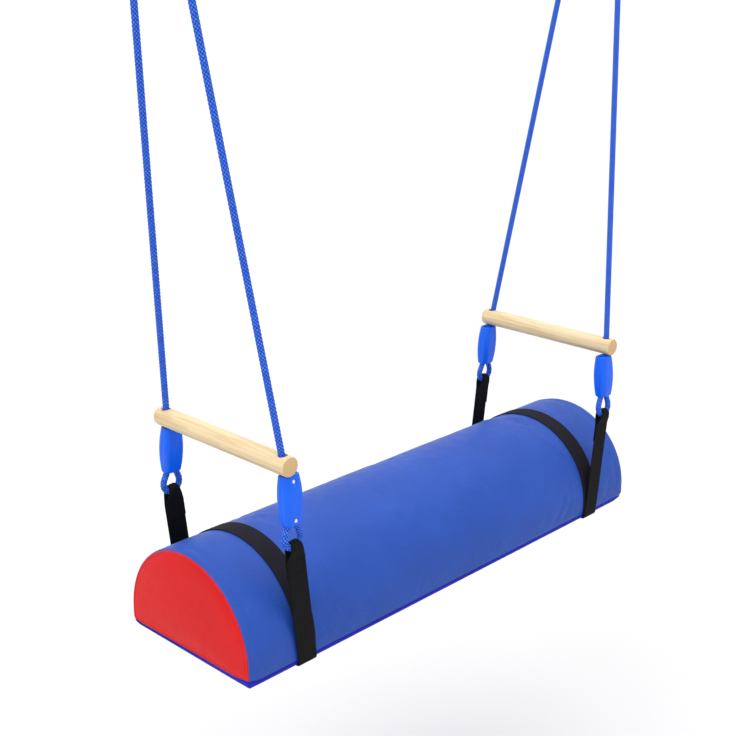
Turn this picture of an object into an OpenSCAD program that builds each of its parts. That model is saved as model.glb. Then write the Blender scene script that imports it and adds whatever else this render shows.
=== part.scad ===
// Bolster swing: a half-round padded seat that hangs from two rings on four ropes.
// Each piece is modelled with z = 0 at the underside of the seat. The hung() module then
// lowers it, so that the origin lies midway between the tops of the two hanging rings.
// X runs along the seat, Y across it and Z upwards. Left is -X and front is -Y.

/* [Seat] */
// Length of the seat from one end panel to the other
seat_length = 1000; // [700:10:1400]
// Width of the seat across its flat base
seat_width = 295; // [220:5:400]
// Height of the straight sides below the half-round top
side_rise = 27.5; // [15:0.5:60]
// Thickness of the coated fabric of the cover
cover_t = 1.2; // [0.8:0.1:2]
// Height of the base panel's turned-up edge
base_rim = 6; // [4:0.5:12]
// Thickness of the wooden board under the foam
board_t = 12; // [8:1:18]
// Distance from the board's edge to the inside of the base panel's edge
board_margin = 2; // [1:0.5:10]

/* [Webbing] */
// Width of the straps and the bands
web_width = 38; // [30:1:50]
// Thickness of one layer of webbing
web_t = 2; // [1:0.1:2.6]
// Distance from the end of the seat to the middle of a strap's foot
strap_inset = 118; // [60:1:250]
// Outward lean of the hanging straps, in degrees
strap_lean = 6.8; // [0:0.1:12]
// Height of the middle of a rope eye above the top of the seat
eye_rise = 48.5; // [40:0.5:120]
// Distance from the side of the seat out to the middle of a rope eye
eye_out = 1; // [-4:0.5:6]
// Length of the doubled, sewn end of a strap below the rope eye
sewn_length = 36; // [20:1:60]

/* [Ropes] */
// Diameter of the ropes
rope_d = 10; // [8:0.5:11]
// Length of a rope from the spreader bar to the middle of its upper eye
rope_run = 1130; // [700:10:2400]
// Outward lean of the ropes above the spreader bar, in degrees
rope_lean = 6.8; // [0:0.1:12]
// Inward lean of the lower clamps, in degrees
clamp_lean = 3.7; // [0:0.1:6]

/* [Spreader bars] */
// Diameter of the wooden bars
bar_d = 32; // [26:1:40]
// Length of a bar beyond the middle of each rope hole
bar_overhang = 15; // [14:1:60]
// How much wider the rope holes in the bars are than the ropes
bar_hole_play = 4.4; // [4:0.1:6]
// Space between a bar and the clamps that carry it
bar_seat_gap = 1.2; // [1:0.1:4]

/* [Rope clamps] */
// Length of a clamp
clamp_length = 80; // [60:1:120]
// Width of a clamp at its middle
clamp_width = 37; // [36:0.5:46]
// Width of a clamp at its ends
clamp_end_width = 32; // [31.5:0.5:36]
// Thickness of a clamp at its middle
clamp_depth = 28; // [22:0.5:32]
// Thickness of a clamp at its ends
clamp_end_depth = 22; // [18:0.5:28]
// Diameter of the clamp screws
screw_d = 3; // [2.5:0.1:4]
// Diameter of the screw heads
screw_head_d = 7; // [5:0.1:7.5]

/* [Hanging hardware] */
// Diameter of the shackle pins
pin_d = 8; // [6:0.5:9]
// Thickness of the shackle's rod
bow_d = 9; // [6:0.5:12]
// Distance from the middle of a shackle to the middle of each of its legs
bow_half = 27; // [25:0.5:36]
// Height of a shackle's straight legs
bow_leg = 26; // [16:1:60]
// Thickness of a hanging ring's rod
ring_rod_d = 10; // [6:0.5:12]
// Radius of a hanging ring, to the middle of its rod
ring_r = 30; // [26:0.5:50]
// Distance of each rope's upper eye from the middle of the shackle pin
pin_side = 11; // [10.5:0.1:14]

/* [Hidden] */
$fn = 64;

// Clearances
fit = 0.3;            // between neighbours that lie on each other
web_clear = 1;        // between the rope and the webbing round it
rope_clear = 0.7;     // between the rope's inner bend and what it bends round
channel_clear = 0.4;  // between the rope and the clamp
screw_clear = 0.1;    // between a screw and its hole
pin_clear = 0.3;      // between a shackle pin and the ears
ring_seat_gap = 0.9;  // between a shackle and its ring
margin = 1;           // how far a cutting shape runs past what it cuts

// Seat
arch_r = seat_width / 2;
seat_height = side_rise + arch_r;
board_bottom = cover_t + fit;
foam_bottom = board_bottom + board_t;
foam_inset = cover_t + fit;

// Straps
strap_x = seat_length / 2 - strap_inset;
strap_in = arch_r + 2 * fit + web_t;
strap_out = strap_in + web_t;
strap_foot = 4;
corner_rise = 7.5;    // how far above the flat sides the straps leave the seat
strap_corner = side_rise + corner_rise;
stub_height = 12;
band_end = 10;

// Rope eyes: the rope turns round in a bend of this radius
rope_r = rope_d / 2;
loop_r = 16;
eye_z = seat_height + eye_rise;
eye_x = strap_x + eye_z * tan(strap_lean);
eye_y = arch_r + eye_out;
eye_up = eye_z / cos(strap_lean);
slot_y = eye_y + loop_r * sin(clamp_lean);
slot_half = rope_r + web_clear;
slot_overlap = 1;      // how far the straight slot reaches up past the rope's lowest point
slot_taper = 12;       // height over which the two layers part
shoulder_rise = 7;     // from there up to the strap's shoulders
peak_drop = 4;         // from the eye's middle down to the fold's top
slot_low = eye_up - loop_r - rope_r + slot_overlap;
slot_foot = slot_low - slot_taper;
shoulder = slot_low + shoulder_rise;
peak = eye_up - peak_drop;
peak_half = 9.5;
saddle_r = loop_r - rope_r - rope_clear;

// Clamps: the two runs of rope lie this far each side of the clamp's middle
run_x = 8.5;
clamp_start = 22;
clamp_end = clamp_start + clamp_length;
clamp_round = 10;
mouth_flare = 0.7;
mouth_depth = 5;
low_screw_inset = 8;
high_screw_inset = 10;
screw_low = clamp_start + low_screw_inset;
screw_high = clamp_end - high_screw_inset;
tip_cover = 3;         // plastic left over a screw's tip at the clamp's thinnest place
screw_tip = clamp_end_depth / 2 - tip_cover;
head_height = 2;
head_sink = 1.8;       // from the clamp's thinnest place in to the underside of a head
head_floor = clamp_end_depth / 2 - head_sink;
slot_width = 0.9;
slot_length = 4;
slot_depth = 1;

// Spreader bars: the rope crosses the bar's middle here
bar_hole_d = rope_d + bar_hole_play;
bar_up = clamp_end + bar_seat_gap + bar_d / 2;
bar_x = eye_x + run_x;
hole_y = eye_y - bar_up * sin(clamp_lean);
bar_z = eye_z + bar_up * cos(clamp_lean);
bar_end = hole_y + bar_overhang;
hole_shift = 0.4;
hole_roll = rope_lean / 2;

// Upper eyes: each one is turned to follow its rope
rope_in = asin((hole_y - pin_side) / rope_run);
top_x = bar_x + rope_run * cos(rope_in) * sin(rope_lean) - run_x * cos(rope_lean);
top_z = bar_z + rope_run * cos(rope_in) * cos(rope_lean) + run_x * sin(rope_lean);
thimble_cheek = 1.8;   // how far the thimble stands out on each side of the rope
thimble_half = rope_r + thimble_cheek;
thimble_wall = 1.5;
thimble_bore = 7;
thimble_r = 14;
pin_r = pin_d / 2;
pin_lift = thimble_bore - pin_r - thimble_half * tan(rope_in) - fit;
pin_x = top_x + pin_lift * cos(rope_in) * sin(rope_lean);
pin_z = top_z + pin_lift * cos(rope_in) * cos(rope_lean);

// Shackles and rings
bow_r = bow_d / 2;
ear_r = 10;
ear_w = 9;
collar_r = 8;
collar_w = 5;
pin_tail = 3;
tab_w = 3;
tab_l = 9;
ring_rod_r = ring_rod_d / 2;
bow_top = bow_leg + bow_half;
ring_low = bow_top - bow_r - ring_rod_r - ring_seat_gap;
ring_mid = ring_low + ring_r;
ring_x = pin_x + ring_mid * sin(rope_lean);
ring_z = pin_z + ring_mid * cos(rope_lean);
hang_height = ring_z + ring_r - ring_rod_r;

// A rope's route round an eye, as [x, z] in the eye's own frame: up the tail's run of the
// clamp, down and round the bend, and up the main run.
EYE_ROUTE = [
    [-8.5, 94], [-8.5, 62], [-8.5, 28], [-9.3, 20], [-11.6, 14], [-14.2, 8], [-15.8, 2],
    [-15.4, -4.4], [-12.8, -9.6], [-8.7, -13.4], [-3, -15.7], [3, -15.7], [8.7, -13.4],
    [12.8, -9.6], [15.4, -4.4], [15.8, 2], [14.2, 8], [11.6, 14], [9.3, 20], [8.5, 28],
    [8.5, 62], [8.5, 100]
];
// Points of the straight run, as distances above the spreader bar's middle
RUN_ROUTE = [18, 140, 380, 620, 860];
ROPE_SIDES = 12;

BLUE = [0.16, 0.36, 0.86];
INDIGO = [0.16, 0.16, 0.72];
RED = [0.85, 0.18, 0.18];
BLACK = [0.08, 0.08, 0.1];
ROPE_BLUE = [0.23, 0.44, 0.88];
CLAMP_BLUE = [0.12, 0.42, 0.96];
WOOD = [0.91, 0.81, 0.63];
PLYWOOD = [0.8, 0.66, 0.45];
FOAM = [0.93, 0.9, 0.78];
STEEL = [0.72, 0.73, 0.75];

// ---------- shared shapes ----------

// Lowers a piece from the seat's frame to the hanging frame
module hung() translate([0, 0, -hang_height]) children();

// Turns the right-hand end's pieces round to the left-hand end
module left_end() rotate([0, 0, 180]) children();

// The seat's half-round section in Y and Z, larger by grow all round and cut off below low
module section(grow, low) {
    intersection() {
        translate([0, side_rise]) circle(r = arch_r + grow, $fn = 180);
        translate([-arch_r - grow, side_rise]) square([seat_width + 2 * grow, arch_r + grow]);
    }
    translate([-arch_r - grow, low]) square([seat_width + 2 * grow, side_rise - low]);
}

// Stands a shape drawn in Y and Z on the X axis, from x to x + length
module along_x(x, length) {
    translate([x, 0, 0]) rotate([90, 0, 90]) linear_extrude(length) children();
}

// The frame of a lower eye: z runs up the clamp
module lower_eye(side) {
    translate([eye_x, side * eye_y, eye_z]) rotate([side * clamp_lean, 0, 0]) children();
}

// The frame of an upper eye: z runs up the rope, so the clamp lies below the eye
module upper_eye(side) {
    translate([top_x, side * pin_side, top_z]) rotate([side * rope_in, rope_lean, 0])
        rotate([0, 180, 0]) mirror([1, 0, 0]) children();
}

// ---------- seat ----------

module foam_core() {
    color(FOAM) hung() along_x(-seat_length / 2 + foam_inset, seat_length - 2 * foam_inset)
        section(-foam_inset, foam_bottom);
}

module base_board() {
    half_x = seat_length / 2 - cover_t - board_margin;
    half_y = arch_r - cover_t - board_margin;
    color(PLYWOOD) hung() translate([-half_x, -half_y, board_bottom])
        cube([2 * half_x, 2 * half_y, board_t]);
}

module top_cover() {
    color(BLUE) hung() along_x(-seat_length / 2 + cover_t, seat_length - 2 * cover_t) {
        difference() {
            section(0, base_rim);
            section(-cover_t, base_rim - margin);
        }
    }
}

module base_panel() {
    color(INDIGO) hung() difference() {
        translate([-seat_length / 2, -arch_r, 0]) cube([seat_length, seat_width, base_rim]);
        translate([-seat_length / 2 + cover_t, -arch_r + cover_t, cover_t])
            cube([seat_length - 2 * cover_t, seat_width - 2 * cover_t, base_rim]);
    }
}

module end_panel(x) {
    color(RED) hung() along_x(x, cover_t) section(0, base_rim);
}

module end_panel_left() { end_panel(-seat_length / 2); }
module end_panel_right() { end_panel(seat_length / 2 - cover_t); }

// ---------- webbing ----------

// One hanging side of a strap in Y and height: a single layer, the doubled sewn part, and
// the two layers that part round the rope
module strap_side() {
    sewn_low = slot_foot - sewn_length;
    polygon([
        [strap_in, strap_foot], [strap_in, strap_corner], [slot_y, sewn_low],
        [slot_y - web_t, sewn_low], [slot_y - web_t, slot_foot - web_t],
        [slot_y - slot_half - web_t, slot_low], [slot_y - slot_half - web_t, shoulder],
        [slot_y - slot_half, shoulder], [slot_y - slot_half, slot_low], [slot_y, slot_foot],
        [slot_y + slot_half, slot_low], [slot_y + slot_half, shoulder],
        [slot_y + slot_half + web_t, shoulder], [slot_y + slot_half + web_t, slot_low],
        [slot_y + web_t, slot_foot - web_t], [slot_y + web_t, sewn_low],
        [strap_out, strap_corner], [strap_out, strap_foot]
    ]);
}

// The narrow fold of webbing that passes through the rope's bend
module strap_fold() {
    half = slot_half + web_t;
    intersection() {
        translate([0, slot_y, eye_up]) rotate([90, 0, 0])
            cylinder(r = saddle_r, h = 2 * half, center = true);
        translate([-peak_half, slot_y - half, shoulder])
            cube([2 * peak_half, 2 * half, peak - shoulder]);
    }
    for (y = [slot_y - half, slot_y + slot_half])
        translate([-peak_half, y, shoulder - margin])
            cube([2 * peak_half, web_t, peak - shoulder + margin]);
}

module sling_strap() {
    translate([strap_x - web_width / 2, -strap_out, -fit - web_t])
        cube([web_width, 2 * strap_out, web_t]);
    for (side = [0, 1]) mirror([0, side, 0]) {
        translate([strap_x - web_width / 2, strap_in, -fit - web_t])
            cube([web_width, web_t, stub_height]);
        translate([strap_x, 0, 0]) rotate([0, strap_lean, 0]) {
            along_x(-web_width / 2, web_width) strap_side();
            strap_fold();
        }
    }
}

module sling_strap_left() { color(BLACK) hung() left_end() sling_strap(); }
module sling_strap_right() { color(BLACK) hung() sling_strap(); }

module top_band() {
    along_x(strap_x - web_width / 2, web_width) difference() {
        section(fit + web_t, band_end);
        section(fit, band_end - margin);
    }
}

module top_band_left() { color(BLACK) hung() left_end() top_band(); }
module top_band_right() { color(BLACK) hung() top_band(); }

// ---------- spreader bars ----------

module spreader_bar() {
    translate([bar_x, 0, bar_z]) difference() {
        rotate([90, 0, 0]) cylinder(d = bar_d, h = 2 * bar_end, center = true);
        for (side = [-1, 1])
            translate([0, side * (hole_y - hole_shift), 0]) rotate([0, hole_roll, 0])
                cylinder(d = bar_hole_d, h = bar_d + 2 * margin, center = true);
    }
}

module spreader_bar_left() { color(WOOD) hung() left_end() spreader_bar(); }
module spreader_bar_right() { color(WOOD) hung() spreader_bar(); }

// ---------- ropes ----------

function unit(v) = v / norm(v);

// A point [x, z] of a lower eye's frame, in the seat's frame, for the back rope
function lower_point(p) = [
    eye_x + p[0], eye_y - p[1] * sin(clamp_lean), eye_z + p[1] * cos(clamp_lean)
];

// A point [x, depth below the eye] of an upper eye's frame, in the seat's frame
function upper_point(p) = [
    top_x + p[0] * cos(rope_lean) - p[1] * cos(rope_in) * sin(rope_lean),
    pin_side + p[1] * sin(rope_in),
    top_z - p[0] * sin(rope_lean) - p[1] * cos(rope_in) * cos(rope_lean)
];

route_back = concat(
    [for (p = EYE_ROUTE) lower_point(p)],
    [[bar_x, hole_y, bar_z]],
    [for (h = RUN_ROUTE) upper_point([run_x, rope_run - h])],
    [for (i = [len(EYE_ROUTE) - 1 : -1 : 0]) upper_point(EYE_ROUTE[i])]
);

// The direction of a route at its point i
function heading(route, i) = unit(
    (i == 0 ? [0, 0, 0] : unit(route[i] - route[i - 1]))
    + (i == len(route) - 1 ? [0, 0, 0] : unit(route[i + 1] - route[i]))
);

// A ring of points round a route's point i
function tube_ring(route, i, r) =
    let (t = heading(route, i), b = unit([0, 1, 0] - t[1] * t), n = cross(t, b))
    [for (k = [0 : ROPE_SIDES - 1])
        let (a = 360 * k / ROPE_SIDES) route[i] + r * (cos(a) * n + sin(a) * b)];

module tube(route, r) {
    rings = len(route);
    points = [for (i = [0 : rings - 1]) each tube_ring(route, i, r)];
    start_cap = [[for (k = [ROPE_SIDES - 1 : -1 : 0]) k]];
    end_cap = [[for (k = [0 : ROPE_SIDES - 1]) (rings - 1) * ROPE_SIDES + k]];
    walls = [for (i = [0 : rings - 2], k = [0 : ROPE_SIDES - 1])
        let (a = i * ROPE_SIDES + k, b = i * ROPE_SIDES + (k + 1) % ROPE_SIDES)
        [a, b, b + ROPE_SIDES, a + ROPE_SIDES]];
    polyhedron(points, concat(start_cap, walls, end_cap));
}

module rope() { tube(route_back, rope_r); }

module rope_left_front() { color(ROPE_BLUE) hung() left_end() rope(); }
module rope_left_back() { color(ROPE_BLUE) hung() mirror([1, 0, 0]) rope(); }
module rope_right_front() { color(ROPE_BLUE) hung() mirror([0, 1, 0]) rope(); }
module rope_right_back() { color(ROPE_BLUE) hung() rope(); }

// ---------- rope clamps ----------

// A long outline of the given widths at its middle and ends, bowed on both sides
module barrel(mid, end) {
    bow = (mid - end) / 2;
    r = (pow(clamp_length / 2, 2) + pow(bow, 2)) / (2 * bow);
    intersection() {
        translate([-mid / 2, clamp_start]) square([mid, clamp_length]);
        translate([mid / 2 - r, clamp_start + clamp_length / 2]) circle(r = r, $fn = 180);
        translate([r - mid / 2, clamp_start + clamp_length / 2]) circle(r = r, $fn = 180);
    }
}

// A rectangle with round corners
module round_block(w, d, r) {
    square([w - 2 * r, d], center = true);
    square([w, d - 2 * r], center = true);
    for (x = [-1, 1], y = [-1, 1])
        translate([x * (w / 2 - r), y * (d / 2 - r)]) circle(r = r);
}

// The whole clamp in an eye's frame, with its two rope channels
module clamp_solid() {
    channel_r = rope_r + channel_clear;
    difference() {
        intersection() {
            translate([0, 0, clamp_start]) linear_extrude(clamp_length)
                round_block(clamp_width, clamp_depth, clamp_round);
            rotate([90, 0, 0]) linear_extrude(clamp_depth + 2 * margin, center = true)
                barrel(clamp_width, clamp_end_width);
            rotate([90, 0, 90]) linear_extrude(clamp_width + 2 * margin, center = true)
                barrel(clamp_depth, clamp_end_depth);
        }
        for (side = [-1, 1]) {
            translate([side * run_x, 0, clamp_start - margin])
                cylinder(r = channel_r, h = clamp_length + 2 * margin);
            translate([side * (run_x + mouth_flare), 0, clamp_start - margin])
                cylinder(r = channel_r, h = mouth_depth + margin);
        }
    }
}

// Both screws of a clamp; their heads face +Y. Grown by gap, they cut their own holes.
module clamp_screws(gap) {
    for (z = [screw_low, screw_high]) translate([0, 0, z]) rotate([90, 0, 0]) {
        translate([0, 0, -head_floor]) cylinder(d = screw_d + 2 * gap, h = head_floor + screw_tip);
        translate([0, 0, -head_floor - (gap > 0 ? clamp_depth : head_height)])
            cylinder(d = screw_head_d + 2 * gap, h = gap > 0 ? clamp_depth : head_height);
    }
}

// The crossed slots of a clamp's screw heads
module screw_slots() {
    for (z = [screw_low, screw_high], turn = [0, 90])
        translate([0, head_floor + head_height, z]) rotate([0, turn, 0])
            cube([slot_length, 2 * slot_depth, slot_width], center = true);
}

// The half of a clamp that takes the screw heads
module clamp_cap() {
    difference() {
        clamp_solid();
        translate([-clamp_width, -clamp_depth, 0])
            cube([2 * clamp_width, clamp_depth, clamp_end + margin]);
        clamp_screws(screw_clear);
    }
}

// The half of a clamp that the screws bite into
module clamp_body() {
    difference() {
        clamp_solid();
        translate([-clamp_width, 0, 0])
            cube([2 * clamp_width, clamp_depth, clamp_end + margin]);
        clamp_screws(screw_clear);
    }
}

// The left back lower clamp is put on the other way round
module turned(other_way) rotate([0, 0, other_way ? 180 : 0]) children();

module lower_cap(side, other_way = false) {
    color(CLAMP_BLUE) hung() lower_eye(side) turned(other_way) clamp_cap();
}
module lower_body(side, other_way = false) {
    color(CLAMP_BLUE) hung() lower_eye(side) turned(other_way) clamp_body();
}
module upper_cap(side) { color(CLAMP_BLUE) hung() upper_eye(side) clamp_cap(); }
module upper_body(side) { color(CLAMP_BLUE) hung() upper_eye(side) clamp_body(); }

module lower_clamp_left_front_cap() { left_end() lower_cap(1); }
module lower_clamp_left_front_body() { left_end() lower_body(1); }
module lower_clamp_left_back_cap() { left_end() lower_cap(-1, true); }
module lower_clamp_left_back_body() { left_end() lower_body(-1, true); }
module lower_clamp_right_front_cap() { lower_cap(-1); }
module lower_clamp_right_front_body() { lower_body(-1); }
module lower_clamp_right_back_cap() { lower_cap(1); }
module lower_clamp_right_back_body() { lower_body(1); }
module upper_clamp_left_front_cap() { left_end() upper_cap(1); }
module upper_clamp_left_front_body() { left_end() upper_body(1); }
module upper_clamp_left_back_cap() { left_end() upper_cap(-1); }
module upper_clamp_left_back_body() { left_end() upper_body(-1); }
module upper_clamp_right_front_cap() { upper_cap(-1); }
module upper_clamp_right_front_body() { upper_body(-1); }
module upper_clamp_right_back_cap() { upper_cap(1); }
module upper_clamp_right_back_body() { upper_body(1); }

// The eight screws of one end's four clamps
module end_screws(other_way) {
    color(STEEL) hung() for (side = [-1, 1]) {
        lower_eye(side) turned(other_way && side < 0)
            difference() { clamp_screws(0); screw_slots(); }
        upper_eye(side) difference() { clamp_screws(0); screw_slots(); }
    }
}

module clamp_screws_left() { left_end() end_screws(true); }
module clamp_screws_right() { end_screws(false); }

// ---------- thimbles ----------

// A grooved steel ring that the rope's upper bend sits round
module thimble(side) {
    color(STEEL) hung() upper_eye(side) rotate([90, 0, 0]) rotate_extrude() polygon([
        [thimble_bore, -thimble_half], [thimble_r, -thimble_half],
        [thimble_r, thimble_wall - thimble_half], [saddle_r, thimble_wall - thimble_half],
        [saddle_r, thimble_half - thimble_wall], [thimble_r, thimble_half - thimble_wall],
        [thimble_r, thimble_half], [thimble_bore, thimble_half]
    ]);
}

module thimble_left_front() { left_end() thimble(1); }
module thimble_left_back() { left_end() thimble(-1); }
module thimble_right_front() { thimble(-1); }
module thimble_right_back() { thimble(1); }

// ---------- shackles ----------

// The frame of a shackle: the pin runs along Y through its origin
module shackle_frame() { translate([pin_x, 0, pin_z]) rotate([0, rope_lean, 0]) children(); }

module shackle_bow() {
    hole_r = pin_r + pin_clear;
    shackle_frame() difference() {
        union() {
            for (side = [-1, 1]) translate([0, side * bow_half, 0]) {
                cylinder(r = bow_r, h = bow_leg);
                rotate([90, 0, 0]) cylinder(r = ear_r, h = ear_w, center = true);
            }
            translate([0, 0, bow_leg]) rotate([90, 0, 90])
                rotate_extrude(angle = 180) translate([bow_half, 0]) circle(r = bow_r);
        }
        rotate([90, 0, 0])
            cylinder(r = hole_r, h = 2 * bow_half + ear_w + 2 * margin, center = true);
    }
}

module shackle_bow_left() { color(STEEL) hung() left_end() shackle_bow(); }
module shackle_bow_right() { color(STEEL) hung() shackle_bow(); }

// A shackle pin: its collar lies on the outside of the back ear
module shackle_pin() {
    outside = bow_half + ear_w / 2;
    shackle_frame() {
        translate([0, -outside - pin_tail, 0]) rotate([-90, 0, 0])
            cylinder(r = pin_r, h = 2 * outside + pin_tail + fit + collar_w);
        translate([0, outside + fit, 0]) rotate([-90, 0, 0]) cylinder(r = collar_r, h = collar_w);
        translate([-tab_w / 2, outside + fit, -collar_r])
            cube([tab_w, collar_w + tab_l, 2 * collar_r]);
    }
}

module shackle_pin_left() { color(STEEL) hung() left_end() shackle_pin(); }
module shackle_pin_right() { color(STEEL) hung() shackle_pin(); }

// ---------- hanging rings ----------

module hang_ring() {
    translate([ring_x, 0, ring_z]) rotate([90, 0, 0])
        rotate_extrude() translate([ring_r, 0]) circle(r = ring_rod_r);
}

module hang_ring_left() { color(STEEL) hung() left_end() hang_ring(); }
module hang_ring_right() { color(STEEL) hung() hang_ring(); }

foam_core();
base_board();
top_cover();
base_panel();
end_panel_left();
end_panel_right();
sling_strap_left();
sling_strap_right();
top_band_left();
top_band_right();
spreader_bar_left();
spreader_bar_right();
rope_left_front();
rope_left_back();
rope_right_front();
rope_right_back();
lower_clamp_left_front_cap();
lower_clamp_left_front_body();
lower_clamp_left_back_cap();
lower_clamp_left_back_body();
lower_clamp_right_front_cap();
lower_clamp_right_front_body();
lower_clamp_right_back_cap();
lower_clamp_right_back_body();
upper_clamp_left_front_cap();
upper_clamp_left_front_body();
upper_clamp_left_back_cap();
upper_clamp_left_back_body();
upper_clamp_right_front_cap();
upper_clamp_right_front_body();
upper_clamp_right_back_cap();
upper_clamp_right_back_body();
clamp_screws_left();
clamp_screws_right();
thimble_left_front();
thimble_left_back();
thimble_right_front();
thimble_right_back();
shackle_bow_left();
shackle_bow_right();
shackle_pin_left();
shackle_pin_right();
hang_ring_left();
hang_ring_right();
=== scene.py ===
# Looks of the bolster swing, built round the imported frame. Lengths are in metres, in the frame of
# the CAD: +X along the seat, +Y towards its back, +Z up, and the origin between the hanging rings.
import math
from math import asin, cos, hypot, pi, radians, sin, sqrt, tan

import bmesh
import bpy
import numpy as np
from mathutils import Matrix, Vector


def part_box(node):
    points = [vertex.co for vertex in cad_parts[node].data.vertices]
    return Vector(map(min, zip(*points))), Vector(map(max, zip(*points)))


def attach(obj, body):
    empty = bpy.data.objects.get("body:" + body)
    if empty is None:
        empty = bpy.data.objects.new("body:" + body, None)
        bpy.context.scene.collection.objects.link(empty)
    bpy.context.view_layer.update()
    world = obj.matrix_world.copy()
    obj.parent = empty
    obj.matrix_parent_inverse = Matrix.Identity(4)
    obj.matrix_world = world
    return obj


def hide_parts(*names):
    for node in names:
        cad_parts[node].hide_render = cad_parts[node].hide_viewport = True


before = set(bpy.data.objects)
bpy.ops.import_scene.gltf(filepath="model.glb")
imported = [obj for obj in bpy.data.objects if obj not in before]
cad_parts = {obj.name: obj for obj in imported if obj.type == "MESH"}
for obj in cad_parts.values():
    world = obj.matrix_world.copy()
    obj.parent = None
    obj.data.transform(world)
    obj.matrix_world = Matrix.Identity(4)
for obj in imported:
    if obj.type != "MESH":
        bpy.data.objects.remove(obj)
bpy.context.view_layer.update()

MM = 0.001


# ---------- sizes that the CAD's source states, in millimetres ----------

base_low, base_high = (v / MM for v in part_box("base_panel"))
hang_height = -base_low.z
seat_length = base_high.x - base_low.x
seat_width = base_high.y - base_low.y
base_rim = base_high.z - base_low.z
side_rise = 27.5
cover_t = 1.2
web_width, web_t = 38, 2
strap_x = seat_length / 2 - 118
strap_lean = radians(6.8)
rope_d, rope_r, loop_r = 10, 5, 16
rope_run = 1130
rope_lean = radians(6.8)
clamp_lean = radians(3.7)
bar_r, bar_hole_r = 16, 7.2
clamp_length, clamp_start = 80, 22
clamp_end = clamp_start + clamp_length
run_x = 8.5
pin_side = 11
fit = 0.3

arch_r = seat_width / 2
seat_height = side_rise + arch_r
strap_in = arch_r + 2 * fit + web_t
eye_z = seat_height + 48.5
eye_x = strap_x + eye_z * tan(strap_lean)
eye_y = arch_r + 1
eye_up = eye_z / cos(strap_lean)
slot_y = eye_y + loop_r * sin(clamp_lean)
slot_low = eye_up - loop_r - rope_r + 1
slot_foot = slot_low - 12
sewn_low = slot_foot - 36
bar_up = clamp_end + 1.2 + bar_r
bar_x = eye_x + run_x
hole_y = eye_y - bar_up * sin(clamp_lean)
bar_z = eye_z + bar_up * cos(clamp_lean)
bar_end = hole_y + 15
rope_in = asin((hole_y - pin_side) / rope_run)
top_x = bar_x + rope_run * cos(rope_in) * sin(rope_lean) - run_x * cos(rope_lean)
top_z = bar_z + rope_run * cos(rope_in) * cos(rope_lean) + run_x * sin(rope_lean)

ENDS = {"left": Matrix.Rotation(pi, 4, "Z"), "right": Matrix.Identity(4)}


def side_of(end, place):
    """The sign of Y, before the left end is turned round, of a front or back piece."""
    return (1 if place == "back" else -1) * (1 if end == "right" else -1)


def hung(m):
    """A matrix of the seat's frame in millimetres, as one of the row frame in metres."""
    return Matrix.Scale(MM, 4) @ Matrix.Translation((0, 0, -hang_height)) @ m


def lower_eye(side):
    return Matrix.Translation((eye_x, side * eye_y, eye_z)) @ Matrix.Rotation(side * clamp_lean, 4, "X")


def upper_eye(side):
    return (Matrix.Translation((top_x, side * pin_side, top_z))
            @ Matrix.Rotation(rope_lean, 4, "Y") @ Matrix.Rotation(side * rope_in, 4, "X")
            @ Matrix.Rotation(pi, 4, "Y") @ Matrix.Scale(-1, 4, (1, 0, 0)))


# ---------- camera ----------

def make_camera():
    data = bpy.data.cameras.new("camera")
    data.sensor_width = 36
    data.lens = 62.2193
    data.clip_end = 200
    cam = bpy.data.objects.new("camera", data)
    bpy.context.scene.collection.objects.link(cam)
    yaw, pitch, roll = radians(-45.830), radians(18.310), radians(0.283)
    back = Vector((sin(yaw) * cos(pitch), -cos(yaw) * cos(pitch), sin(pitch)))
    right = (-back).cross(Vector((0, 0, 1))).normalized()
    up = right.cross(-back)
    axes = cos(roll) * right + sin(roll) * up, cos(roll) * up - sin(roll) * right, back
    place = Matrix.Translation((-1.576405, -1.43964, -0.489294))
    cam.matrix_world = place @ Matrix(axes).transposed().to_4x4()
    bpy.context.scene.camera = cam


make_camera()


# ---------- mesh helpers ----------

def mesh_object(name, verts, faces, scale=True, matrix=None):
    """A new object from points in the seat's frame in millimetres, or in any frame with matrix."""
    mesh = bpy.data.meshes.new(name)
    mesh.from_pydata([tuple(v) for v in verts], [], faces)
    if matrix is None:
        matrix = hung(Matrix.Identity(4)) if scale else Matrix.Identity(4)
    mesh.transform(matrix)
    obj = bpy.data.objects.new(name, mesh)
    bpy.context.scene.collection.objects.link(obj)
    return obj


def tidy(obj, sharp=35):
    """Turns the faces outwards, shades them smooth and keeps edges sharper than that angle."""
    bm = bmesh.new()
    bm.from_mesh(obj.data)
    bmesh.ops.recalc_face_normals(bm, faces=bm.faces)
    for f in bm.faces:
        f.smooth = True
    for e in bm.edges:
        e.smooth = len(e.link_faces) != 2 or e.calc_face_angle(0) < radians(sharp)
    bm.to_mesh(obj.data)
    bm.free()
    obj.data.update()
    return obj


def loft(rings, cap=True, closed=True):
    """Points and faces of a skin over rings of equal length."""
    n = len(rings[0])
    verts = [p for ring in rings for p in ring]
    faces = []
    for i in range(len(rings) - 1):
        for k in range(n if closed else n - 1):
            a, b = i * n + k, i * n + (k + 1) % n
            faces.append((a, b, b + n, a + n))
    if cap:
        faces.append(tuple(range(n - 1, -1, -1)))
        last = (len(rings) - 1) * n
        faces.append(tuple(last + k for k in range(n)))
    return verts, faces


def join_parts(parts):
    """Several (points, faces) as one."""
    verts, faces = [], []
    for v, f in parts:
        at = len(verts)
        verts += list(v)
        faces += [tuple(i + at for i in face) for face in f]
    return verts, faces


def moved(part, matrix):
    return [matrix @ Vector(v) for v in part[0]], part[1]


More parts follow.
